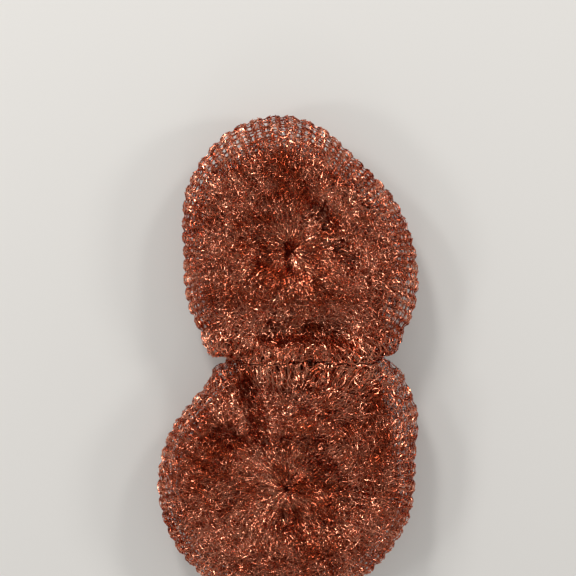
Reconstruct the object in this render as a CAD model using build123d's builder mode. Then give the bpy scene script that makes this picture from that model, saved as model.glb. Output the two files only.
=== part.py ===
from build123d import *
import math
import os
from dataclasses import dataclass

# Two knitted copper pot scrubbers lying side by side, flat on a table, pressed together where they meet.
# Each one is a long knitted sleeve turned over on itself into a thick ring, with its middle drawn together.
# Lengths are in millimetres. +Z is up, +Y is the rear and +X is right. The origin is on the table,
# under the middle of the pair.

# The thickness of a scrubber, and how deep its rounded underside is flattened by lying on the table
pad_height = 32.0
flat_depth = 0.5

# The throat that is left in the middle of the rolled ring
throat_radius = 5.0

# The turns of the sleeve: one layer's thickness, the space between two layers, and the slit that each
# turn has at the throat, where the sleeve runs on into the next turn, as an angle round the section
turn_wall = 3.0
turn_gap = 0.3
slit_angle = 8.0
turn_names = ["outer_turn", "second_turn", "third_turn"]

# The columns of loops, which stand out as ribs on the outer turn and scallop its rim: how many there are
# in each step of direction, and how deep the furrow between two ribs is at the rim and on the crown
ribs_per_step = 2
rim_furrow = 1.3
crown_furrow = 0.6

# The gathers, where the sleeve is drawn together at the throat: the outer radius of a gather's head,
# how far its middle dips below its edge, and the waist that the tie holds
gather_head_radius = 11.0
gather_dip = 2.0
waist_radius = 3.0
waist_height = 2.4
gather_flank_steps = 4

# The tie: its wire, the space round the waist, and its twisted end
tie_wire = 1.0
tie_gap = 0.2
tie_twist_width = 1.4
tie_twist_length = 4.0

# The space left between the two scrubbers, and how far the rear one sits to the right of the front one
parting_gap = 0.5
side_step = 2.3


@dataclass
class Scrubber:
    name: str
    # the mean radius of the pad, from its gathered middle to its rim
    radius: float
    # the rim in steps of 15 degrees, from +X towards +Y, as shares of the mean radius
    rim_shares: list
    # the height of the crown in the same directions, as shares of its full height
    crown_shares: list


rear = Scrubber(
    name="rear",
    radius=57.4,
    rim_shares=[
        1.010, 0.965, 0.934, 0.908, 0.932, 1.035, 1.106, 1.117, 1.098, 1.037, 0.995, 0.906,
        0.866, 0.897, 0.953, 0.998, 1.018, 0.946, 0.913, 0.946, 1.050, 1.127, 1.124, 1.073,
    ],
    crown_shares=[
        0.96, 0.92, 0.90, 0.92, 0.97, 1.00, 1.00, 0.99, 1.00, 1.00, 0.98, 0.96,
        0.95, 0.97, 1.00, 1.00, 0.97, 0.94, 0.93, 0.95, 0.98, 1.00, 1.00, 0.99,
    ],
)
front = Scrubber(
    name="front",
    radius=59.3,
    rim_shares=[
        1.008, 1.047, 1.202, 1.280, 1.076, 0.963, 0.931, 0.963, 1.051, 0.997, 1.008, 1.012,
        1.010, 0.998, 0.981, 0.956, 0.939, 0.931, 0.922, 0.927, 0.934, 0.939, 0.961, 0.997,
    ],
    crown_shares=[
        0.98, 1.00, 1.00, 1.00, 0.98, 0.93, 0.88, 0.85, 0.88, 0.94, 0.98, 1.00,
        1.00, 0.98, 0.96, 0.98, 1.00, 0.98, 0.96, 0.97, 1.00, 1.00, 0.98, 0.96,
    ],
)

# Values worked out from the sizes above
direction_step = 360 / len(rear.rim_shares)
half_turn_steps = len(rear.rim_shares) // 2
sections_per_step = 2 * ribs_per_step
mid_height = (pad_height - flat_depth) / 2
half_height = (pad_height + flat_depth) / 2
layer_pitch = turn_wall + turn_gap
side_index = {"right": 0, "rear": len(rear.rim_shares) // 4, "front": 3 * len(rear.rim_shares) // 4}


def rim_points(pad):
    """The rim of a pad in plan, one point for each direction, measured from its gathered middle."""
    points = []
    for index, share in enumerate(pad.rim_shares):
        angle = math.radians(index * direction_step)
        points.append((pad.radius * share * math.cos(angle), pad.radius * share * math.sin(angle)))
    return points


# The pads meet at the front of the rear one and the rear of the front one, and the pair is centred on
# the origin
rear_flat = rear.radius * rear.rim_shares[side_index["front"]]
front_flat = front.radius * front.rim_shares[side_index["rear"]]
middle_distance = rear_flat + front_flat + parting_gap
low_y = min(y for x, y in rim_points(front))
high_y = middle_distance + max(y for x, y in rim_points(rear))
low_x = min([x for x, y in rim_points(front)] + [x + side_step for x, y in rim_points(rear)])
high_x = max([x for x, y in rim_points(front)] + [x + side_step for x, y in rim_points(rear)])
front_middle = (-(low_x + high_x) / 2, -(low_y + high_y) / 2)
rear_middle = (front_middle[0] + side_step, front_middle[1] + middle_distance)
middles = {"front": front_middle, "rear": rear_middle}


def crown_circle(pad):
    """Radius of the circle that the ring's crown runs along, midway between throat and narrowest rim."""
    return (throat_radius + pad.radius * min(pad.rim_shares)) / 2


def rim_radius(pad, index):
    """How far the rim is from the middle, on the straight line between the two nearest rim points."""
    place = math.floor(index)
    here = pad.radius * pad.rim_shares[place % len(pad.rim_shares)]
    there = pad.radius * pad.rim_shares[(place + 1) % len(pad.rim_shares)]
    step = math.radians(direction_step)
    part = step * (index - place)
    return here * there * math.sin(step) / (here * math.sin(part) + there * math.sin(step - part))


def crown_share(pad, index):
    """The height of the crown, between those of the two nearest directions."""
    place = math.floor(index)
    here = pad.crown_shares[place % len(pad.crown_shares)]
    there = pad.crown_shares[(place + 1) % len(pad.crown_shares)]
    return here + (there - here) * (index - place)


def section_plane(pad, index):
    """The upright plane through the middle of a pad, in one of its directions."""
    angle = math.radians(index * direction_step)
    outwards = (math.cos(angle), math.sin(angle), 0)
    across = (math.sin(angle), -math.cos(angle), 0)
    return Plane(origin=(*middles[pad.name], 0), x_dir=outwards, z_dir=across)


def ring_curve(pad, index, inset, slit, furrow=0):
    """One surface of the ring in section, in four quarters, with a slit left open at the throat.

    A furrow of 1 draws the rim and the crown in by a whole furrow. Returns the two ends at the slit,
    the upper one first.
    """
    crown = crown_circle(pad)
    centre = (crown, mid_height)
    towards_rim = rim_radius(pad, index) - crown - inset - furrow * rim_furrow
    towards_throat = crown - throat_radius - inset
    upwards = half_height * crown_share(pad, index) - inset - furrow * crown_furrow
    downwards = half_height - inset
    EllipticalCenterArc(centre, towards_rim, upwards, start_angle=0, arc_size=90)
    EllipticalCenterArc(centre, towards_rim, downwards, start_angle=-90, arc_size=90)
    above = EllipticalCenterArc(centre, towards_throat, upwards, start_angle=90, arc_size=90 - slit)
    below = EllipticalCenterArc(
        centre, towards_throat, downwards, start_angle=180 + slit, arc_size=90 - slit
    )
    return above @ 1, below @ 0


def make_turn(pad, inset, sections=1):
    """One turn of the sleeve: a ring of even wall, open at the slit in the throat.

    It is ribbed on the outside where it has several sections in each step, one on a rib and the next
    in a furrow.
    """
    with BuildPart() as turn:
        for half in range(2):
            for section in range(half_turn_steps * sections + 1):
                index = half * half_turn_steps + section / sections
                furrow = section % 2 if sections > 1 else 0
                with BuildSketch(section_plane(pad, index)):
                    with BuildLine():
                        outer_above, outer_below = ring_curve(pad, index, inset, slit_angle, furrow)
                        inner_above, inner_below = ring_curve(pad, index, inset + turn_wall, slit_angle)
                        Line(outer_above, inner_above)
                        Line(outer_below, inner_below)
                    make_face()
            loft(ruled=True)
        split(bisect_by=Plane.XY, keep=Keep.TOP)
    return turn


def make_inner_roll(pad, inset):
    """The start of the sleeve, rolled up tight inside the turns."""
    with BuildPart() as roll:
        for half in range(2):
            for step in range(half_turn_steps + 1):
                index = half * half_turn_steps + step
                with BuildSketch(section_plane(pad, index)):
                    with BuildLine():
                        ring_curve(pad, index, inset, 0)
                    make_face()
            loft(ruled=True)
    return roll


def flank_points(pad, level):
    """The side of a gather, clear of the outer turn, from the waist out to the edge of the head."""
    crown = crown_circle(pad)
    across = crown - throat_radius + turn_gap
    upright = half_height + turn_gap
    start = math.asin(waist_height / 2 / upright)
    end = math.acos((crown - gather_head_radius) / across)
    points = []
    for step in range(gather_flank_steps + 1):
        angle = start + (end - start) * step / gather_flank_steps
        points.append((crown - across * math.cos(angle), mid_height + level * upright * math.sin(angle)))
    return points


def make_gather(pad, level):
    """The sleeve drawn together in the throat: a waist under the tie, flaring to a dished head."""
    flank = flank_points(pad, level)
    head_edge = flank[-1][1]
    waist_end = (waist_radius, flank[0][1])
    dish_radius = (gather_head_radius**2 + gather_dip**2) / (2 * gather_dip)
    dish_half_angle = math.degrees(math.asin(gather_head_radius / dish_radius))
    with BuildPart() as gather:
        with BuildSketch(section_plane(pad, 0)):
            with BuildLine():
                Polyline((0, mid_height), (waist_radius, mid_height), waist_end, *flank)
                dish = CenterArc(
                    (0, head_edge + level * (dish_radius - gather_dip)),
                    dish_radius,
                    -level * 90,
                    level * dish_half_angle,
                )
                Line(dish @ 0, (0, mid_height))
            make_face()
        revolve(axis=Axis((*middles[pad.name], 0), (0, 0, 1)))
    return gather


def make_tie(pad):
    """A wire ring round the waist of the gathers, with its two ends twisted together."""
    ring = waist_radius + tie_gap + tie_wire / 2
    with BuildPart() as tie:
        with BuildSketch(section_plane(pad, 0)):
            with Locations((ring, mid_height)):
                Circle(tie_wire / 2)
        revolve(axis=Axis((*middles[pad.name], 0), (0, 0, 1)))
        twist_plane = Plane(
            origin=(middles[pad.name][0], middles[pad.name][1] + ring, mid_height),
            z_dir=(0, 1, 0),
        )
        with BuildSketch(twist_plane):
            Circle(tie_twist_width / 2)
        extrude(amount=tie_twist_length)
    return tie


os.makedirs("parts", exist_ok=True)
for pad in (front, rear):
    pieces = {}
    for layer, turn_name in enumerate(turn_names):
        sections = sections_per_step if layer == 0 else 1
        pieces[turn_name] = make_turn(pad, layer * layer_pitch, sections)
    pieces["inner_roll"] = make_inner_roll(pad, len(turn_names) * layer_pitch)
    pieces["upper_gather"] = make_gather(pad, 1)
    pieces["lower_gather"] = make_gather(pad, -1)
    pieces["tie"] = make_tie(pad)
    for piece_name, piece in pieces.items():
        piece.part.label = f"{pad.name}_{piece_name}"
        export_step(piece.part, f"parts/{piece.part.label}.step")
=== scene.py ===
# %% [markdown]
# # Two knitted copper pot scrubbers
# Each scrubber is one long sleeve of flat copper-coated wire, knitted in wide loops. The sleeve is
# turned over on itself again and again, like a rolled stocking, into a thick ring, and its middle
# is drawn together and tied, which gives each pad its navel. A pad is nearly all wire and air, so
# a bump on a smooth cushion would not do: this lesson lays real knitted wire over the solid model,
# loop by loop.

# %% Load the solid model
import math
from dataclasses import dataclass

import bmesh
import bpy
import numpy as np
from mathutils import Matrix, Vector
from mathutils.bvhtree import BVHTree


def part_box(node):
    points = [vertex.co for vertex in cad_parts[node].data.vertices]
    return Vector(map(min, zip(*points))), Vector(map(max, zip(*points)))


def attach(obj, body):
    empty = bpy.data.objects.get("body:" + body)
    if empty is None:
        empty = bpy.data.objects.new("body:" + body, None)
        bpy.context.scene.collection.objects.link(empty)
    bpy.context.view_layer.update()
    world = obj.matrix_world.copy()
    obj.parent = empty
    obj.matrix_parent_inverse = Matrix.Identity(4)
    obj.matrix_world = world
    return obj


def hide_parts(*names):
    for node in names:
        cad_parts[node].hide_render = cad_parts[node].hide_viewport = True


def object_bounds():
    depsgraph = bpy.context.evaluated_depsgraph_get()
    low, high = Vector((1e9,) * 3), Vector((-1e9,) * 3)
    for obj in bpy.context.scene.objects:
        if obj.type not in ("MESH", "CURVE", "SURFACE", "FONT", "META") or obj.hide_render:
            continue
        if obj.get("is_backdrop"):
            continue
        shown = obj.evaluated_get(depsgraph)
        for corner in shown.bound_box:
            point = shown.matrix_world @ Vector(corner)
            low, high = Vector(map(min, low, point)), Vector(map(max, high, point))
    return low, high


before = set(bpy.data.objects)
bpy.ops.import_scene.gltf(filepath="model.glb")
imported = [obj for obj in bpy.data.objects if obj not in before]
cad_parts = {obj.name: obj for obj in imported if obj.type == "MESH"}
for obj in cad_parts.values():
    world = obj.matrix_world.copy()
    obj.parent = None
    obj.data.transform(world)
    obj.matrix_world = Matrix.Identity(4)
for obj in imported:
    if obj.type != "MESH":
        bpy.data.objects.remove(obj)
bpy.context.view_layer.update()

# %% [markdown]
# Blender works in metres, and wire is measured in millimetres, so every small size below is a
# number of MM. Places seen in the photograph are given as pixels of its 576-pixel square, and one
# function turns a pixel into a place on the table.

# %% Millimetres and pixels
MM = 0.001
PIXELS = 576
PIXEL = 0.46 * MM
PAIR_MIDDLE = (288.06, 359.4)  # the pixel that shows the frame's origin


def on_table(pixel_x, pixel_y):
    """The place on the table that shows at a pixel."""
    x, y = (pixel_x - PAIR_MIDDLE[0]) * PIXEL, (PAIR_MIDDLE[1] - pixel_y) * PIXEL
    return Vector((x, y, 0))


print("the picture is", round(PIXELS * PIXEL / MM), "mm wide on the table")

# %% [markdown]
# ## Creases and hollows
# The two pads aren't even cushions. They have been squeezed, so a few creases and hollows run over
# their tops, and these are where the wire looks darkest. They could be sculpted into the finished
# wire, but that would stretch and break its loops. Here the surface sinks before any wire is laid
# on it. Each crease is a short line of pixels with a width and a depth, and sinks in a bell curve.

# %% A crease


@dataclass
class Crease:
    """A pressed-in line on top of a pad."""

    pixels: list
    width: float
    depth: float

    def sink(self, places):
        """How far the crease lowers each place, by its distance from the line."""
        x, y = places[..., 0], places[..., 1]
        nearest = np.full(x.shape, np.inf)
        line = [on_table(*pixel) for pixel in self.pixels]
        for a, b in zip(line, line[1:]):
            run = b - a
            along = ((x - a.x) * run.x + (y - a.y) * run.y) / run.length_squared
            along = np.clip(along, 0, 1)
            away = np.hypot(x - a.x - along * run.x, y - a.y - along * run.y)
            nearest = np.minimum(nearest, away)
        return self.depth * np.exp(-((nearest / self.width) ** 2))


sample = Crease([(0, 0), (10, 0)], width=2 * MM, depth=3 * MM)
beside = np.array(on_table(5, 0)) + (0, sample.width, 0)
print("a crease 3 mm deep sinks", round(sample.sink(beside) / MM, 1), "mm where its width ends")

# %% List the creases
CREASES = {
    "rear": [
        Crease([(289, 248), (289, 267)], 1.7 * MM, 3.5 * MM),
        Crease([(317, 211), (327, 226)], 4.8 * MM, 6.0 * MM),
        Crease([(340, 250), (352, 260)], 4.8 * MM, 6.0 * MM),
        Crease([(260, 224), (266, 258)], 4.5 * MM, 2.8 * MM),
        Crease([(276, 330), (334, 332)], 9.5 * MM, 8.0 * MM),
    ],
    "front": [
        Crease([(248, 385), (255, 412), (266, 442)], 4.0 * MM, 5.6 * MM),
        Crease([(218, 434), (236, 441)], 4.5 * MM, 5.0 * MM),
        Crease([(286, 440), (320, 441)], 3.6 * MM, 3.6 * MM),
        Crease([(300, 408), (345, 424)], 4.0 * MM, 3.0 * MM),
        Crease([(284, 482), (288, 490)], 1.8 * MM, 1.6 * MM),
        Crease([(312, 462), (352, 500)], 8.5 * MM, 7.5 * MM),
        Crease([(282, 520), (336, 524)], 6.5 * MM, 5.0 * MM),
    ],
}
CREASE_FADE = 8 * MM  # height over a pad's middle below which its creases fade out
print({name: len(creases) for name, creases in CREASES.items()}, "creases")

# %% [markdown]
# ## Measure the pads
# The knitting has to follow the solid pad, so the pad's surface is measured first. Its mesh could
# be unwrapped instead, but it is made of loose triangles in no order, and rays read any mesh
# evenly. A pad is a ring, and the circle that runs through the middle of the ring is its crown.
# Rays sent from outside towards the crown meet the surface once each, the drawn-together middle
# included.

# %% Send rays at a pad
COLUMNS = 48  # of loops round the outer turn, one on each rib of the solid
DIRECTIONS = 3 * COLUMNS  # readings round the pad
SECTION = 121  # readings over the pad, from the navel on top to the navel underneath
THROAT_RADIUS = 5 * MM  # of the hole through the ring, which the gathers fill
NAVEL_RADIUS = 1.2 * MM
OUTSIDE = 0.2  # metres from the crown to where most rays start
ABOVE = 0.1  # metres over the table, higher than any pad
LEAST_INWARDS = 0.05  # cosine up to which a ray counts as upright or outward
SHORT_OF_AXIS = 0.98  # share of the way from the crown to the axis


class PadReadings:
    """Where rays meet the solids of one pad."""

    def __init__(self, name):
        self.name = name
        low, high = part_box(f"{name}_upper_gather")
        self.middle = (low + high) / 2
        self.gather_radius = (high.x - low.x) / 2
        low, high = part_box(f"{name}_inner_roll")
        self.height = (low.z + high.z) / 2
        self.tree = self.join_solids()
        self.crown = self.find_crown()

    def join_solids(self):
        """One search tree of the solids that make the pad's outside."""
        corners, faces = [], []
        for part in ("outer_turn", "upper_gather", "lower_gather"):
            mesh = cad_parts[f"{self.name}_{part}"].data
            faces += [tuple(len(corners) + i for i in face.vertices) for face in mesh.polygons]
            corners += [corner.co.copy() for corner in mesh.vertices]
        return BVHTree.FromPolygons(corners, faces)

    def outwards(self, row):
        """The level way out from the pad's middle in one of the directions."""
        turn = math.tau * row / DIRECTIONS
        return Vector((math.cos(turn), math.sin(turn), 0))

    def find_crown(self):
        """Radius of the crown, halfway between the throat and the nearest rim."""
        centre = Vector((self.middle.x, self.middle.y, self.height))
        rims = []
        for row in range(DIRECTIONS):
            outwards = self.outwards(row)
            rim = self.tree.ray_cast(centre + outwards * OUTSIDE, -outwards)[0]
            rims.append((rim - centre).length)
        return (min(rims) + THROAT_RADIUS) / 2

    def angles(self):
        """Angles of the rays over the pad, from the upper navel to the lower one."""
        beside_axis = Vector((self.middle.x, self.middle.y, ABOVE)) + Vector((NAVEL_RADIUS, 0, 0))
        dish = self.tree.ray_cast(beside_axis, Vector((0, 0, -1)))[0].z - self.height
        steepest = math.atan2(dish, NAVEL_RADIUS - self.crown)
        return np.linspace(steepest, -steepest, SECTION)

    def ray_start(self, angle):
        """How far out a ray starts: on the navel's side, just short of the pad's axis."""
        inwards = -math.cos(angle)
        if inwards <= LEAST_INWARDS:
            return OUTSIDE
        return min(OUTSIDE, SHORT_OF_AXIS * self.crown / inwards)

    def reach(self, angles):
        """How far the surface is from the crown, in each direction and at each angle."""
        reach = np.zeros((DIRECTIONS, SECTION))
        for row in range(DIRECTIONS):
            outwards = self.outwards(row)
            centre = self.middle.copy() + outwards * self.crown
            centre.z = self.height
            for column, angle in enumerate(angles):
                way = outwards * math.cos(angle) + Vector((0, 0, math.sin(angle)))
                surface = self.tree.ray_cast(centre + way * self.ray_start(angle), -way)[0]
                reach[row, column] = (surface - centre).length
        return reach


print(DIRECTIONS, "by", SECTION, "rays for each pad")

# %% [markdown]
# The solid carries a rib for each column of loops. Each loop is made below, so the ribs are
# levelled out of the readings, and the facets are smoothed a little. A narrow well is added where
# the sleeve dives into each navel.

# %% Smooth the readings and add the wells
SMOOTHINGS_ROUND = 4
SMOOTHINGS_OVER = 3
WELL_DEPTH = 2.0 * MM
WELL_STEPS = np.linspace(1, 0.15, 7)  # from its edge inwards
WELL_FALL = WELL_DEPTH * (1 - WELL_STEPS) ** 0.8  # steeper at first
WELL_RADII = NAVEL_RADIUS * (0.2 + 0.75 * WELL_STEPS)


def smooth(reach):
    """Readings without ribs and facets."""
    # the mean of three readings spans one rib, so it levels them
    reach = (np.roll(reach, 1, 0) + reach + np.roll(reach, -1, 0)) / 3
    for _ in range(SMOOTHINGS_ROUND):
        reach = (np.roll(reach, 1, 0) + 2 * reach + np.roll(reach, -1, 0)) / 4
    for _ in range(SMOOTHINGS_OVER):
        reach[:, 1:-1] = (reach[:, :-2] + 2 * reach[:, 1:-1] + reach[:, 2:]) / 4
    return reach


def add_wells(out, up, crown):
    """Carry the sections on down the two wells, which narrow to a third of the navel's radius."""
    upper, lower = (edge - np.sign(edge) * WELL_FALL for edge in (up[:, :1], up[:, -1:]))
    well = np.broadcast_to(-crown + WELL_RADII, upper.shape)
    return np.hstack([well[:, ::-1], out, well]), np.hstack([upper[:, ::-1], up, lower])


print("a well is", round(WELL_FALL[-1] / MM, 1), "mm deep")

# %% [markdown]
# Every wire below is laid by two numbers: its direction round the pad, and how far it has come
# over the pad, as a share that is 0 down in the upper navel, a half at the rim and 1 up in the
# lower navel. The surface turns those two numbers and a depth into a place.

# %% A pad's surface
LEAST_RADIUS = 0.2 * MM  # from the pad's axis, for any place


class PadSurface(PadReadings):
    """The surface of one pad, read by a direction round it and a share of the way over it."""

    def __init__(self, name):
        super().__init__(name)
        angles = self.angles()
        reach = smooth(self.reach(angles))
        self.lay_out(*add_wells(reach * np.cos(angles), reach * np.sin(angles), self.crown))

    def lay_out(self, out, up):
        """Keep places at even steps along each section, with the way outwards at each."""
        gaps = np.hypot(np.diff(out, axis=1), np.diff(up, axis=1))
        along = np.hstack([np.zeros((DIRECTIONS, 1)), np.cumsum(gaps, axis=1)])
        self.length = float(along[:, -1].mean())
        shares = np.linspace(0, 1, SECTION)
        self.out = np.stack([np.interp(shares, a / a[-1], o) for a, o in zip(along, out)])
        self.up = np.stack([np.interp(shares, a / a[-1], u) for a, u in zip(along, up)])
        step_out, step_up = np.gradient(self.out, axis=1), np.gradient(self.up, axis=1)
        size = np.hypot(step_out, step_up)
        self.out_way, self.up_way = -step_up / size, step_out / size
        self.rim = self.crown + self.out.max(axis=1)
        radius, half = self.crown + self.out.mean(axis=0), SECTION // 2
        self.gather_share = float(np.interp(self.gather_radius, radius[:half], shares[:half]))

    def read(self, readings, direction, share):
        """The value between the nearest readings."""
        row = np.mod(direction / math.tau, 1) * DIRECTIONS
        column = np.clip(share, 0, 1) * (SECTION - 1)
        r0 = row.astype(int) % DIRECTIONS
        c0 = np.minimum(column.astype(int), SECTION - 2)
        past_row, past_column = row - row.astype(int), column - c0
        r1 = (r0 + 1) % DIRECTIONS
        near = readings[r0, c0] * (1 - past_column) + readings[r0, c0 + 1] * past_column
        far = readings[r1, c0] * (1 - past_column) + readings[r1, c0 + 1] * past_column
        return near * (1 - past_row) + far * past_row

    def radius(self, direction, share):
        """How far the surface is from the pad's axis."""
        return self.crown + self.read(self.out, direction, share)

    def rim_radius(self, direction):
        """How far the rim is from the pad's axis."""
        around = np.arange(DIRECTIONS + 1) * 2 * math.pi / DIRECTIONS
        return np.interp(np.mod(direction, math.tau), around, np.append(self.rim, self.rim[0]))

    def places(self, direction, share, depth, short=0.0):
        """Places at a depth under the surface, creases included.

        A turn may stop short of the rim by a length, and its outer half is then drawn in to fit.
        """
        out = self.read(self.out, direction, share)
        drawn_in = out * (1 - short / (self.rim_radius(direction) - self.crown))
        out = np.where(out > 0, drawn_in, out)
        out -= depth * self.read(self.out_way, direction, share)
        up = self.read(self.up, direction, share) - depth * self.read(self.up_way, direction, share)
        radius = np.maximum(self.crown + out, LEAST_RADIUS)
        x = self.middle.x + radius * np.cos(direction)
        y = self.middle.y + radius * np.sin(direction)
        places = np.stack([x, y, self.height + up], axis=-1)
        sink = sum(crease.sink(places) for crease in CREASES[self.name])
        places[..., 2] -= sink * np.clip(up / CREASE_FADE, 0, 1)
        return places


pads = {name: PadSurface(name) for name in ("front", "rear")}
for pad in pads.values():
    crown, length = round(pad.crown / MM, 1), round(pad.length / MM, 1)
    print(pad.name, "crown", crown, "mm, section", length, "mm")

# %% [markdown]
# ## Where the pads press on each other
# The springy sleeves swell into the valley between the two rims until they meet. Neither pad is
# stiff, so they part along a wavy surface, and the rear pad leans over the front one. A simulation
# could press them together, but thousands of loops are too many for it. So the pads' surfaces are
# let out near the parting, and wire that would cross it is then put back on its own side.

# %% The parting
PARTING = (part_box("front_outer_turn")[1].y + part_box("rear_outer_turn")[0].y) / 2
PARTING_SHIFT = 3.6  # mm to the rear of the middle between the solids
PARTING_LEAN = 0.15  # mm to the front for each mm up from MID_HEIGHT
MID_HEIGHT = 16  # mm
LONG_WAVE, SHORT_WAVE = (1.1, 6.1), (0.5, 1.25)  # each a height and a length over 2 pi, in mm
CROSS_WAVE = (0.3, 2.6, 1.9)  # a height, and lengths along and up
PRESSED_NEAR, PRESSED_FAR = 4 * MM, 13 * MM  # from wholly pressed to not pressed at all


def ease(value, low, high):
    """0 below low and 1 above high, with a smooth rise between."""
    part = np.clip((value - low) / (high - low), 0, 1)
    return part * part * (3 - 2 * part)


def parting(places):
    """Where the pads part, in y, at each place."""
    x, z = places[..., 0] / MM, places[..., 2] / MM
    waves_along = sum(height * np.sin(x / length) for height, length in (LONG_WAVE, SHORT_WAVE))
    height, along, up = CROSS_WAVE
    waves_along += height * np.sin(x / along) * np.cos(z / up)
    return PARTING + (PARTING_SHIFT - PARTING_LEAN * (z - MID_HEIGHT) + waves_along) * MM


def near_parting(places):
    """1 near the parting and 0 well away from it."""
    return 1 - ease(np.abs(places[..., 1] - parting(places)), PRESSED_NEAR, PRESSED_FAR)


print("the pads part at about y", round(PARTING / MM + PARTING_SHIFT, 1), "mm")

# %% Swell and press
BULGE = {"front": 6 * MM, "rear": 3.5 * MM}  # how far a pad swells where it is pressed
BULGE_MIDDLE = 4.5 * MM  # how much more it does along the middle of the parting
PARTING_MIDDLE = 9 * MM  # in x
MIDDLE_NEAR, MIDDLE_FAR = 20 * MM, 38 * MM  # to each side, between which the extra fades out
SWELL_LOW, SWELL_HIGH = 3 * MM, 15 * MM  # heights where the swelling starts, and where it is whole
PARTING_TOP = 27 * MM  # height above which the pressed sleeves are flattened
FLATTENED = 0.8  # share of the height above that which is pressed away
CLEARANCE = 0.5 * MM  # from the middle of a wire to the parting
TABLE_CLEARANCE = 0.3 * MM


def pressed(pad, direction, share):
    """1 where a pad is pressed on the other pad and 0 well away from it."""
    return near_parting(pad.places(direction, share, 0))


def bulge(pad, direction, share):
    """How far a pad's sleeves swell."""
    places = pad.places(direction, share, 0)
    middle = 1 - ease(np.abs(places[..., 0] - PARTING_MIDDLE), MIDDLE_NEAR, MIDDLE_FAR)
    upper = ease(places[..., 2], SWELL_LOW, SWELL_HIGH)
    return pressed(pad, direction, share) * upper * (BULGE[pad.name] + BULGE_MIDDLE * middle)


def press(pad, places):
    """Move wire that would rise high over the parting, cross it, or sink into the table."""
    side = 1 if pad.name == "rear" else -1
    too_high = np.maximum(places[..., 2] - PARTING_TOP, 0)
    places[..., 2] -= FLATTENED * near_parting(places) * too_high
    own_side = np.maximum(side * (places[..., 1] - parting(places)), CLEARANCE)
    places[..., 1] = parting(places) + side * own_side
    places[..., 2] = np.maximum(places[..., 2], TABLE_CLEARANCE)
    return places


print("the front pad swells by up to", round((BULGE["front"] + BULGE_MIDDLE) / MM, 1), "mm")

# %% [markdown]
# ## Smooth unevenness
# Wire cloth is never even: whole patches of stitches are pushed about. A noise texture would show
# a seam where it comes round the pad, so sums of a few sine waves that close round it are used.

# %% Waves over a pad


def waves(generator, cycles_round, cycles_over, count=12):
    """A smooth uneven field over a pad, about 1 high."""
    times_round = generator.integers(-cycles_round, cycles_round + 1, count)
    times_over = generator.uniform(-cycles_over, cycles_over, count)
    starts = generator.uniform(0, math.tau, count)

    def field(direction, share):
        total = 0
        for around, over, start in zip(times_round, times_over, starts):
            total = total + np.sin(around * direction + math.tau * over * share + start)
        return total / math.sqrt(count / 2)

    return field


sample = waves(np.random.default_rng(0), 12, 5)(np.linspace(0, math.tau, 100), 0.5)
print("round the rim a field runs from", sample.min().round(1), "to", sample.max().round(1))

# %% [markdown]
# ## Where the rows lie open
# The stitches lie in open, even rows only near the rim, like the scales of a fish. How wide that
# band is changes round the pad: it is widest where the sleeve bulges past its last turn. A painted
# mask could hold it, but a few widths are easier to read and to change. They were taken from the
# photograph every 30 degrees, from the right and counter-clockwise.

# %% Band of open rows
OPEN_BAND = {  # widths in mm
    "rear": [10, 10, 14, 23, 20, 14, 8, 8, 8, 9, 12, 16],
    "front": [4, 16, 11, 8, 6, 4, 4, 5, 5, 5, 7, 7],
}
OPEN_TO, CRUMPLED_FROM = 0.6, 1.2  # shares of the band's width, counted inwards from the rim


def open_rows(pad, direction, share):
    """1 where the rows lie open near the rim and 0 on the crumpled top, with the band's width."""
    widths = OPEN_BAND[pad.name]
    around = np.linspace(0, math.tau, len(widths) + 1)
    band = np.interp(np.mod(direction, math.tau), around, [*widths, widths[0]]) * MM
    inwards = pad.rim_radius(direction) - pad.radius(direction, share)
    return 1 - ease(inwards, OPEN_TO * band, CRUMPLED_FROM * band), band


print("the band is", min(OPEN_BAND["front"]), "to", max(OPEN_BAND["rear"]), "mm wide")

# %% [markdown]
# ## Knit a sleeve
# In plain knitting the wire runs round and round the sleeve. In each stitch it swings back and
# forth along its row, up and down across the row so that it hooks through its neighbours, and in
# and out of the cloth. One loop could be modelled and copied, but copies would all be alike and
# would not join. The three swings are sines of one angle, so a whole sleeve is a single long path
# whose stitches can each be stretched and bent. It is first planned as stitches in rows.

# %% Plan a sleeve
OPEN_ROWS = 0.14  # share of the rows, on each side of the rim, that need all their places
FEWER_STEPS = 3  # places that a stitch of the other rows does without


@dataclass
class Sleeve:
    """One thickness of the knitted sleeve, as it lies in the pad."""

    stitches: int  # in one row
    rows: int
    depth: float  # under the pad's crumpled top
    rim_depth: float  # under the surface where the rows are open
    short: float  # share of the band of open rows by which it stops short of the rim
    lean: float  # how far the stitch columns lean round the pad, in radians
    crumple: float  # how far its stitches are pushed about
    steps: int  # places along the wire in one stitch at the rim
    width: float = 1.0  # of its wire, as a share of the section's
    throat: float = 0.0  # share of the way over at which it starts

    def stitch_count(self):
        """Stitches in the whole sleeve."""
        return self.stitches * self.rows

    def stitches_along(self):
        """How many stitches are knitted at each place along the wire."""
        runs = []
        for row in range(self.rows):
            in_open_row = abs(row / self.rows - 0.5) < OPEN_ROWS
            count = self.steps if in_open_row else self.steps - FEWER_STEPS
            runs.append(row * self.stitches + np.arange(self.stitches * count) / count)
        return np.concatenate([*runs, [self.stitch_count()]])


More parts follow.
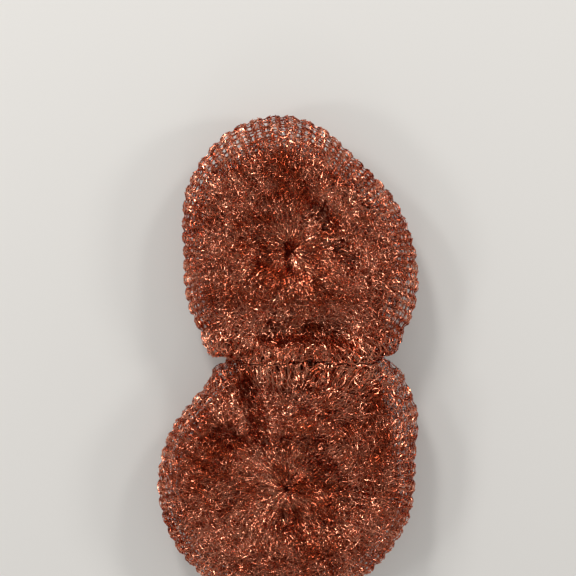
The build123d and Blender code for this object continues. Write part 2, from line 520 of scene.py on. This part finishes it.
# the last turn of the sleeve shows as two thicknesses of cloth over a lining of two more
OUTER = [
    Sleeve(COLUMNS, 58, 0.5 * MM, 0, short=0, lean=0.5, crumple=1.0, steps=12),
    Sleeve(COLUMNS, 60, 1.2 * MM, 0.9 * MM, short=0, lean=-0.9, crumple=1.2, steps=11, width=0.85),
]
LINING = [
    Sleeve(COLUMNS, 60, 1.9 * MM, 1.2 * MM, short=0.1, lean=1.3, crumple=1.4, steps=11, width=0.8),
    Sleeve(54, 56, 2.6 * MM, 1.5 * MM, short=0.35, lean=-1.7, crumple=1.4, steps=10, width=0.8),
]
UNDER = {
    "second_turn": Sleeve(
        62, 50, 3.5 * MM, 3 * MM, short=0.65, lean=2, crumple=1.4, steps=9, width=0.8, throat=0.08
    ),
    "third_turn": Sleeve(
        56, 46, 4.8 * MM, 4.5 * MM, short=0.65, lean=-2, crumple=1.4, steps=9, width=0.9, throat=0.1
    ),
}
print("the outermost sleeve of a pad has", OUTER[0].stitch_count(), "stitches")

# %% [markdown]
# Sines alone would look like a machine's drawing. A random value for each stitch, eased into the
# next stitch's, makes neighbours differ, and one for each place bends the wire in small kinks.

# %% Runs of wire and their unevenness


@dataclass
class Run:
    """A run of wire: its places, and how far over the pad, how twisted and how wide it is."""

    places: np.ndarray
    over: np.ndarray
    twist: np.ndarray
    width: np.ndarray

    def cut(self, low, high):
        """The stretch between two shares of the way over the pad."""
        first, last = np.searchsorted(self.over, [low, high])
        kept = slice(max(first - 1, 0), last + 1)
        return Run(self.places[kept], self.over[kept], self.twist[kept], self.width[kept])


@dataclass
class Unevenness:
    """Random values along a sleeve's wire."""

    generator: np.random.Generator
    sleeve: Sleeve
    stitch: np.ndarray  # how many stitches are knitted at each place

    def each_stitch(self, size):
        """A value for each stitch, eased into the next stitch's."""
        values = self.generator.normal(0, size, self.sleeve.stitch_count() + 2)
        first = self.stitch.astype(int)
        part = ease(self.stitch - first, 0, 1)
        return values[first] * (1 - part) + values[first + 1] * part

    def each_place(self, size):
        """A value for each place along the wire."""
        return self.generator.normal(0, size, len(self.stitch))


sample = Unevenness(np.random.default_rng(0), OUTER[0], OUTER[0].stitches_along()).each_stitch(1)
print(len(sample), "places along the outermost wire")

# %% [markdown]
# Near the rim the stitches lie open in neat rows, stretched apart, with the columns of all the
# thicknesses in step, so that light falls between them. On the pressed top they are crowded and
# crumpled, and where the sleeve is gathered they overlap.

# %% The swings of a stitch
STRETCH = 0.45  # how much wider than the mean the rows are spaced at the rim, and closer on top
ALONG = 0.24  # swing along the row, as a share of a stitch's width
ACROSS = 1.2  # swing across the row, as a share of the row's height
IN_OUT_TOP = 0.3 * MM  # swing in and out with each stitch, on the crumpled top
IN_OUT_CROSSING = 0.25 * MM  # the same with each crossing of the wire, everywhere
RIB = 0.55 * MM  # how far the heads of the loops stand out at the rim, and their feet draw in
PROUDEST = 0.8 * MM  # the most that a wire stands out of the surface
GATHERED_WIDTH = 3.6 * MM  # the least width of a gathered stitch, which may overlap its neighbours
GATHERED_NONE, GATHERED_WHOLE = 1 * MM, 11 * MM  # radii between which that least width grows
NEAR_AXIS, PUSH_RADIUS = 0.5 * MM, 12 * MM  # least radii for a stitch's width and for a push
print("stitches swing", ALONG, "of their width along a row and", ACROSS, "rows across it")

# %% The unevenness of a stitch
LOOSE_TOP, LOOSE_LESS = 1.15, 0.95  # how far stitches wander on top, and how much less at the rim
BROAD_CYCLES, FINE_CYCLES = (12, 5), (34, 13)  # waves round and over the pad
BROAD_PUSH, FINE_PUSH, STITCH_PUSH = 1.1, 0.65, 0.45  # mm round and over
BROAD_LIFT, STITCH_LIFT = 0.35, 0.3  # mm up and down
ALONG_UNEVEN, ACROSS_UNEVEN = 0.3, 0.25  # shares of the swings
KINK = 0.14 * MM  # how far crumpled wire is bent from step to step
TWIST_STITCH, TWIST_KINK = 1.5, 0.5  # radians, on the crumpled top
FLASHING, FLASHING_UNEVEN = math.pi + 0.47, 0.5  # twist that turns the flat side up and outwards
HEAD = 1.4  # how broad a loop's flashing head is
TOP_WIDTH, RIM_WIDER, WIDTH_UNEVEN = 0.75, 0.6, 0.08  # shares of the wire's width
print("patches of stitches wander about", BROAD_PUSH, "mm, and each stitch", STITCH_PUSH, "mm more")

# %% Knit the path of a wire


def knit(pad, sleeve, generator):
    """The whole run of a sleeve's wire."""
    stitch = sleeve.stitches_along()
    uneven = Unevenness(generator, sleeve, stitch)
    phase = math.tau * stitch
    knitted = stitch / sleeve.stitches / sleeve.rows
    spacing = 1 + STRETCH * np.cos(2 * math.tau * knitted)
    stretched = knitted + STRETCH / (2 * math.tau) * np.sin(2 * math.tau * knitted)
    over = sleeve.throat + (1 - 2 * sleeve.throat) * stretched
    row_share = (1 - 2 * sleeve.throat) / sleeve.rows * spacing
    turn = math.tau * stitch / sleeve.stitches + 4 * sleeve.lean * (knitted - 0.5) ** 3

    even, band = open_rows(pad, turn, over)
    loose = sleeve.crumple * (LOOSE_TOP - LOOSE_LESS * even)
    radius = np.maximum(pad.radius(turn, over), NEAR_AXIS)
    gathered_width = GATHERED_WIDTH * ease(radius, GATHERED_NONE, GATHERED_WHOLE)
    stitch_width = np.maximum(math.tau * radius / sleeve.stitches, gathered_width)
    reach = np.maximum(radius, PUSH_RADIUS)
    broad = [waves(generator, *BROAD_CYCLES)(turn, over) for _ in range(3)]
    fine = [waves(generator, *FINE_CYCLES)(turn, over) for _ in range(2)]
    push_round, push_over = (
        BROAD_PUSH * broad[way] + FINE_PUSH * fine[way] + uneven.each_stitch(STITCH_PUSH)
        for way in range(2)
    )

    along = stitch_width / radius * ALONG * np.sin(2 * phase)
    along = along * (1 + uneven.each_stitch(ALONG_UNEVEN) * loose)
    direction = turn + along
    direction += (loose * push_round * MM + (1 - even) * uneven.each_place(KINK)) / reach
    across = row_share * ACROSS * np.cos(phase)
    share = over + across * (1 + uneven.each_stitch(ACROSS_UNEVEN) * loose)
    share += (loose * push_over * MM + (1 - even) * uneven.each_place(KINK)) / pad.length

    # a rib stands out along each column of loops, so the rim shows a scallop for each
    rib = RIB * even * np.cos(phase + sleeve.stitches * along)
    depth = sleeve.depth * (1 - even) + sleeve.rim_depth * even - rib
    depth -= IN_OUT_TOP * np.cos(phase) * (1 - even) - IN_OUT_CROSSING * np.cos(2 * phase)
    depth += loose * (BROAD_LIFT * broad[2] + uneven.each_stitch(STITCH_LIFT)) * MM
    depth = np.maximum(depth, -PROUDEST) - bulge(pad, direction, share)

    # on the heads of the open loops the wire's flat side leans outwards, so it flashes there
    heads = even * np.clip(HEAD * np.cos(phase), 0, 1)
    twist = (1 - heads) * (uneven.each_stitch(TWIST_STITCH) + uneven.each_place(TWIST_KINK))
    twist += heads * (FLASHING + uneven.each_stitch(FLASHING_UNEVEN))
    width = sleeve.width * (TOP_WIDTH + RIM_WIDER * even) * (1 + uneven.each_stitch(WIDTH_UNEVEN))
    short = sleeve.short * band * (1 - pressed(pad, direction, share))
    places = pad.places(direction, share, depth, short)
    return Run(press(pad, places), over, twist, width)


# %% [markdown]
# ## From path to wire
# Blender sweeps a section along a curve when the curve is given a bevel object. The real wire is
# drawn round and then rolled flat, so the section is a low triangle: it is the smallest closed
# section, it keeps a sleeve of thousands of stitches light, and its flat sides flash one by one as
# rolled wire does.

# %% The wire's section
WIRE_WIDTH = 0.38 * MM
WIRE_THICKNESS = 0.15 * MM
SIDES = 3


def wire_section(name, width, thickness):
    """A flat curve that other curves sweep."""
    outline = bpy.data.curves.new(name, "CURVE")
    outline.dimensions = "2D"
    side = outline.splines.new("POLY")
    side.points.add(SIDES - 1)
    for point, (x, y) in zip(side.points, [(-width / 2, 0), (width / 2, 0), (0, thickness)]):
        point.co = (x, y, 0, 1)
    side.use_cyclic_u = True
    holder = bpy.data.objects.new(name, outline)
    bpy.context.scene.collection.objects.link(holder)
    return holder


knit_section = wire_section("knit_section", WIRE_WIDTH, WIRE_THICKNESS)
print("flat wire", WIRE_WIDTH / MM, "by", WIRE_THICKNESS / MM, "mm")

# %% [markdown]
# A swept curve's end caps come apart from the tube, so they are merged to it. A map of small equal
# cells, one for each side of each length of wire, gives the wire a place of its own for its
# colours.

# %% Finish a swept mesh
SAME_PLACE = 1e-7  # metres within which two corners are one


def lay_cells(mesh):
    """Give each side of each length of wire one cell of a square map, and the caps the last."""
    corner_counts = np.empty(len(mesh.polygons), int)
    mesh.polygons.foreach_get("loop_total", corner_counts)
    on_tube = corner_counts == 4
    lengths = int(on_tube.sum()) // SIDES
    across = math.ceil(math.sqrt(SIDES * lengths))
    rows = SIDES * math.ceil((lengths + 1) / across)
    cell = np.where(on_tube, np.cumsum(on_tube) - 1, SIDES * lengths)
    length, side = cell // SIDES, cell % SIDES
    left, low = (length % across) / across, (length // across * SIDES + side) / rows
    right, high = left + 1 / across, low + 1 / rows
    cells = np.stack([left, low, right, low, right, high, left, high], axis=1)
    corners = [values[: 2 * count] for values, count in zip(cells, corner_counts)]
    mesh.uv_layers.remove(mesh.uv_layers[0])
    mesh.uv_layers.new(name="OFBake").data.foreach_set("uv", np.concatenate(corners))


def close_ends(mesh):
    """Merge the end caps to the tube and turn the faces outwards."""
    wire = bmesh.new()
    wire.from_mesh(mesh)
    bmesh.ops.remove_doubles(wire, verts=wire.verts[:], dist=SAME_PLACE)
    if wire.calc_volume(signed=True) < 0:
        bmesh.ops.reverse_faces(wire, faces=wire.faces[:])
    wire.to_mesh(mesh)
    wire.free()


# %% Sweep a wire along its paths


def sweep(name, runs, section):
    """One closed mesh of wire for a list of runs."""
    line = bpy.data.curves.new(name, "CURVE")
    line.dimensions = "3D"
    line.bevel_mode = "OBJECT"
    line.bevel_object = section
    line.use_fill_caps = True
    line.twist_mode = "Z_UP"
    for run in runs:
        spline = line.splines.new("POLY")
        spline.points.add(len(run.places) - 1)
        weighted = np.hstack([run.places, np.ones((len(run.places), 1))])
        spline.points.foreach_set("co", weighted.ravel())
        spline.points.foreach_set("tilt", run.twist)
        spline.points.foreach_set("radius", run.width)
        spline.use_smooth = False
    holder = bpy.data.objects.new(name, line)
    bpy.context.scene.collection.objects.link(holder)
    swept = holder.evaluated_get(bpy.context.evaluated_depsgraph_get())
    mesh = bpy.data.meshes.new_from_object(swept)
    bpy.data.objects.remove(holder)
    bpy.data.curves.remove(line)
    lay_cells(mesh)
    close_ends(mesh)
    piece = bpy.data.objects.new(name, mesh)
    bpy.context.scene.collection.objects.link(piece)
    return piece


# %% [markdown]
# ## Copper-coated wire
# The wire is steel, drawn, copper-plated and rolled flat. Rolling leaves it bright and a little
# streaky, and the plating tarnishes in patches from pink to brown. A brown paint with some gloss
# would look like plastic: a metal has its colour in its reflections, so the material is fully
# metallic, with a low roughness so that single lengths of wire flash. The wire deeper in a pad gets
# rougher copies of the material whose darker, redder colours are painted shade, for the tangle's
# own shadow.

# %% Colours and nodes


def colour(code):
    """An sRGB hex colour as linear red, green, blue and alpha."""
    values = [int(code[i : i + 2], 16) / 255 for i in (1, 3, 5)]
    return (*(v / 12.92 if v <= 0.04045 else ((v + 0.055) / 1.055) ** 2.4 for v in values), 1)


def add_node(tree, kind, settings=None, inputs=None):
    """Add a node with its settings, and with its inputs set or linked."""
    node = tree.nodes.new(kind)
    for name, value in (settings or {}).items():
        setattr(node, name, value)
    for name, value in (inputs or {}).items():
        if isinstance(value, bpy.types.NodeSocket):
            tree.links.new(value, node.inputs[name])
        else:
            node.inputs[name].default_value = value
    return node


print("pale copper is", [round(value, 2) for value in colour("#e79c7c")[:3]], "in linear light")

# %% Copper wire, and darker copies of it that paint in the shade deep in a pad
BROAD_TARNISH, SMALL_TARNISH, SPOT = 24 * MM, 6 * MM, 1.1 * MM  # sizes of its patches and spots
TARNISH_LOW, TARNISH_HIGH = 1.2, 1.75  # of the three noises' sum, from bright to tarnished
SPOT_LOW, SPOT_HIGH, SPOT_DULLER = 0.3, 0.7, 0.1  # the spots' noise, and its change of roughness
ROLLED_SIZE, ROLLED_HEIGHT = 0.5 * MM, 0.05 * MM  # of the marks that rolling leaves


def copper_wire(name, bright, tarnished, roughness):
    """Rolled copper-coated wire with tarnish patches and uneven rolling."""
    material = bpy.data.materials.new(name)
    material.use_nodes = True
    tree = material.node_tree
    tree.nodes.clear()
    place = add_node(tree, "ShaderNodeTexCoord").outputs["Object"]
    broad, small, spots, rolling_marks = (
        add_node(
            tree, "ShaderNodeTexNoise", inputs={"Vector": place, "Scale": 1 / size, "Detail": 1}
        ).outputs["Fac"]
        for size in (BROAD_TARNISH, SMALL_TARNISH, SPOT, ROLLED_SIZE)
    )
    both = add_node(tree, "ShaderNodeMath", {"operation": "ADD"}, {0: broad, 1: small})
    all_three = add_node(
        tree, "ShaderNodeMath", {"operation": "ADD"}, {0: both.outputs[0], 1: spots}
    )
    amount = add_node(
        tree,
        "ShaderNodeMapRange",
        inputs={0: all_three.outputs[0], 1: TARNISH_LOW, 2: TARNISH_HIGH},
    )
    tint = add_node(
        tree,
        "ShaderNodeMix",
        {"data_type": "RGBA"},
        {0: amount.outputs[0], 6: colour(bright), 7: colour(tarnished)},
    )
    # the spots are duller too
    dull = add_node(
        tree,
        "ShaderNodeMapRange",
        inputs={
            0: spots,
            1: SPOT_LOW,
            2: SPOT_HIGH,
            3: roughness - SPOT_DULLER,
            4: roughness + SPOT_DULLER,
        },
    )
    # rolling leaves the flat side uneven, so that a length of wire flashes in specks
    rolled = add_node(
        tree,
        "ShaderNodeBump",
        inputs={"Height": rolling_marks, "Distance": ROLLED_HEIGHT, "Strength": 1.0},
    )
    shader = add_node(
        tree,
        "ShaderNodeBsdfPrincipled",
        inputs={
            "Base Color": tint.outputs[2],
            "Metallic": 1.0,
            "Roughness": dull.outputs[0],
            "Normal": rolled.outputs[0],
        },
    )
    add_node(tree, "ShaderNodeOutputMaterial", inputs={"Surface": shader.outputs[0]})
    return material


outer_copper = copper_wire("outer_copper_wire", "#e79c7c", "#a9492b", 0.18)
# the second and third turns wear a darker, redder copy of the copper: painted shade
inner_copper_painted_shade = copper_wire("inner_copper_wire_painted_shade", "#c55d3b", "#913a1f", 0.28)
# the packed roll's copy is darker still: painted shade for the deepest wire
packed_copper_painted_shade = copper_wire("packed_copper_wire_painted_shade", "#983e24", "#652513", 0.5)
print("made", outer_copper.name, inner_copper_painted_shade.name, packed_copper_painted_shade.name)

# %% [markdown]
# ## Lay the sleeves
# Through the gaps between the loops of the last turn the eye falls on the second and third turns,
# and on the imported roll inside. Each thickness is one path, cut where one solid ends and the next
# begins: at the rim, and where the gathers start.

# %% Knit the turns
KNIT_SEED = 20


def place_wire(piece_name, pad, node, material, runs):
    """Make a piece of wire that stands for a node."""
    piece = sweep(f"{pad.name}_{piece_name}", runs, knit_section)
    piece.data.materials.append(material)
    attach(piece, f"{pad.name}_scrubber")
    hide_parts(f"{pad.name}_{node}")
    print(piece.name, len(piece.data.polygons), "faces")


for index, pad in enumerate(pads.values()):
    generator = np.random.default_rng(KNIT_SEED + index)
    cloth = {
        "outer_turn": [knit(pad, sleeve, generator) for sleeve in OUTER],
        "lining": [knit(pad, sleeve, generator) for sleeve in LINING],
    }
    gathered = pad.gather_share
    for name, runs in cloth.items():
        for place, low, high in (("top", gathered, 0.5), ("under", 0.5, 1 - gathered)):
            cuts = [run.cut(low, high) for run in runs]
            place_wire(f"{name}_{place}", pad, "outer_turn", outer_copper, cuts)
    runs = cloth["outer_turn"] + cloth["lining"]
    for place, low, high, gather in (
        ("on_top", 0, gathered, "upper_gather"),
        ("under", 1 - gathered, 1, "lower_gather"),
    ):
        cuts = [run.cut(low, high) for run in runs]
        place_wire(f"navel_{place}", pad, gather, outer_copper, cuts)
    for node, sleeve in UNDER.items():
        runs = [knit(pad, sleeve, generator)]
        # the turns under the last one wear the darker copper, which is painted shade
        place_wire(f"knitted_{node}", pad, node, inner_copper_painted_shade, runs)

# %% [markdown]
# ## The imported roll
# Deep inside, the sleeve is wound so tight that no gaps show. More knitting there would cost much
# and never be seen, so a closed skin stands for it: a grid laid over the same measured surface,
# well under the turns, and roughened.

# %% Make the rolls
ROLL_SEED = 40
ROLL_DEPTH, ROLL_ROUGHNESS = 7.0 * MM, 0.5 * MM
ROLL_CYCLES = (40, 16)  # of its roughness, round and over the pad
ROLL_SHORT = 0.7  # of the band of open rows
ROLL_FROM, ROLL_OVER = 0.1, 0.8  # share of the way over at which it starts, and that it covers
GRID_GAP = 1e-5  # metres, for the grid's two edges that meet

for index, pad in enumerate(pads.values()):
    roll = bmesh.new()
    bmesh.ops.create_grid(roll, x_segments=120, y_segments=60, size=1)
    flat = np.array([corner.co for corner in roll.verts])
    rough = waves(np.random.default_rng(ROLL_SEED + index), *ROLL_CYCLES)
    direction = (flat[:, 0] + 1) * math.pi
    share = ROLL_FROM + ROLL_OVER * (1 - flat[:, 1]) / 2
    band = open_rows(pad, direction, share)[1] * (1 - pressed(pad, direction, share))
    depth = ROLL_DEPTH + ROLL_ROUGHNESS * rough(direction, share) - bulge(pad, direction, share)
    places = press(pad, pad.places(direction, share, depth, ROLL_SHORT * band))
    for corner, place in zip(roll.verts, places):
        corner.co = place
    bmesh.ops.remove_doubles(roll, verts=roll.verts[:], dist=GRID_GAP)
    rims = [edge for edge in roll.edges if edge.is_boundary]
    bmesh.ops.holes_fill(roll, edges=rims, sides=0)
    bmesh.ops.recalc_face_normals(roll, faces=roll.faces[:])
    mesh = bpy.data.meshes.new(f"{pad.name}_packed_roll")
    roll.to_mesh(mesh)
    roll.free()
    piece = bpy.data.objects.new(mesh.name, mesh)
    bpy.context.scene.collection.objects.link(piece)
    # the roll's dark copper is painted shade, for the depth of the tangle
    piece.data.materials.append(packed_copper_painted_shade)
    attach(piece, f"{pad.name}_scrubber")
    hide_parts(f"{pad.name}_inner_roll")
    print(piece.name, len(mesh.polygons), "faces")

# %% [markdown]
# ## The ties
# A tie is a short length of plain steel wire. It sits deep in the throat, where the solid model's
# plain ring is as good as anything more, so it keeps that shape and gets a finish. Drawing through
# a die leaves steel grey and half bright, with faint darker marks.

# %% Steel for the ties
STEEL_MARK = 0.8 * MM

tie_steel = bpy.data.materials.new("drawn_steel_wire")
tie_steel.use_nodes = True
steel_tree = tie_steel.node_tree
steel_tree.nodes.clear()
steel_place = add_node(steel_tree, "ShaderNodeTexCoord").outputs["Object"]
steel_marks = add_node(
    steel_tree, "ShaderNodeTexNoise", inputs={"Vector": steel_place, "Scale": 1 / STEEL_MARK}
)
steel_tint = add_node(
    steel_tree,
    "ShaderNodeMix",
    {"data_type": "RGBA"},
    {0: steel_marks.outputs["Fac"], 6: colour("#a9a7a2"), 7: colour("#7d7a76")},
)
steel_shader = add_node(
    steel_tree,
    "ShaderNodeBsdfPrincipled",
    inputs={"Base Color": steel_tint.outputs[2], "Metallic": 1.0, "Roughness": 0.35},
)
add_node(steel_tree, "ShaderNodeOutputMaterial", inputs={"Surface": steel_shader.outputs[0]})
for name in pads:
    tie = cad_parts[f"{name}_tie"]
    tie.data.materials.clear()
    tie.data.materials.append(tie_steel)
print("ties wear", tie_steel.name)

# %% [markdown]
# ## Table, light and camera
# The photograph looks straight down at a pale table. Matt paint on it takes the pads' shadows
# softly and shows no glints of its own.

# %% Table
table_grid = bmesh.new()
bmesh.ops.create_grid(table_grid, x_segments=1, y_segments=1, size=2)
table_mesh = bpy.data.meshes.new("table")
table_grid.to_mesh(table_mesh)
table_grid.free()
table = bpy.data.objects.new("table", table_mesh)
bpy.context.scene.collection.objects.link(table)
table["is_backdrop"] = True
table_finish = bpy.data.materials.new("pale_painted_table")
table_finish.use_nodes = True
table_paint = table_finish.node_tree.nodes["Principled BSDF"].inputs
table_paint["Base Color"].default_value = colour("#d9d6d1")
table_paint["Roughness"].default_value = 0.7
table.data.materials.append(table_finish)
print("the table wears", table_finish.name)

# %% [markdown]
# The light is a soft studio sky that is brighter low down than overhead, because a pad's flat top
# then stays deep copper while its rounded rim catches the light. Six small softboxes round it make
# single lengths of wire flash.

# %% Sky
SKY_LOW, SKY_HIGH = 0.1, 0.8  # how far up the sky starts and stops to darken, from 0 to 1
GLOW_LOW, GLOW_HIGH = 0.77, 0.3  # its strength low down and overhead

studio = bpy.data.worlds.new("studio")
studio.use_nodes = True
sky = studio.node_tree
sky.nodes.clear()
sky_place = add_node(sky, "ShaderNodeTexCoord").outputs["Generated"]
up_down = add_node(sky, "ShaderNodeSeparateXYZ", inputs={0: sky_place})
strength = add_node(
    sky,
    "ShaderNodeMapRange",
    inputs={0: up_down.outputs[2], 1: SKY_LOW, 2: SKY_HIGH, 3: GLOW_LOW, 4: GLOW_HIGH},
)
glow = add_node(sky, "ShaderNodeBackground", inputs={0: (1, 1, 1, 1), 1: strength.outputs[0]})
add_node(sky, "ShaderNodeOutputWorld", inputs={0: glow.outputs[0]})
bpy.context.scene.world = studio
print("the sky glows", GLOW_LOW, "low down and", GLOW_HIGH, "overhead")

# %% Softboxes
SOFTBOX = 0.2  # metres on each side


def softbox(name, place, watts):
    """A square soft light aimed at the pads."""
    lamp = bpy.data.lights.new(name, "AREA")
    lamp.energy = watts
    lamp.size = SOFTBOX
    holder = bpy.data.objects.new(name, lamp)
    holder.location = place
    holder.rotation_euler = (-Vector(place)).to_track_quat("-Z", "Y").to_euler()
    bpy.context.scene.collection.objects.link(holder)
    print(name, watts, "watts")


softbox("back_light", (-0.35, 0.9, 0.7), 4.4)
softbox("back_right_light", (0.65, 0.75, 0.7), 2.6)
softbox("side_light", (0.95, 0.1, 0.6), 2.5)
softbox("front_light", (-0.1, -1.0, 0.6), 0.6)
softbox("left_light", (-0.9, -0.2, 0.7), 2)
softbox("back_left_light", (-0.8, 0.6, 0.7), 2.6)

# %% [markdown]
# A long lens looks straight down, from the height at which the picture's width on the table is as
# wide as the photograph's.

# %% Camera
eye = bpy.data.cameras.new("camera")
eye.lens = 100
camera = bpy.data.objects.new("camera", eye)
looked_at = on_table(PIXELS / 2, PIXELS / 2)
distance = PIXELS * PIXEL * eye.lens / eye.sensor_width
camera.location = (looked_at.x, looked_at.y, pads["rear"].height + distance)
bpy.context.scene.collection.objects.link(camera)
bpy.context.scene.camera = camera
bpy.context.scene.view_settings.view_transform = "Standard"
print("camera", round(camera.location.z / MM), "mm above the table")

# %% Sizes and finish
bpy.data.objects.remove(knit_section)
low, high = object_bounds()
print("the dressed model reaches from", tuple(low), "to", tuple(high))
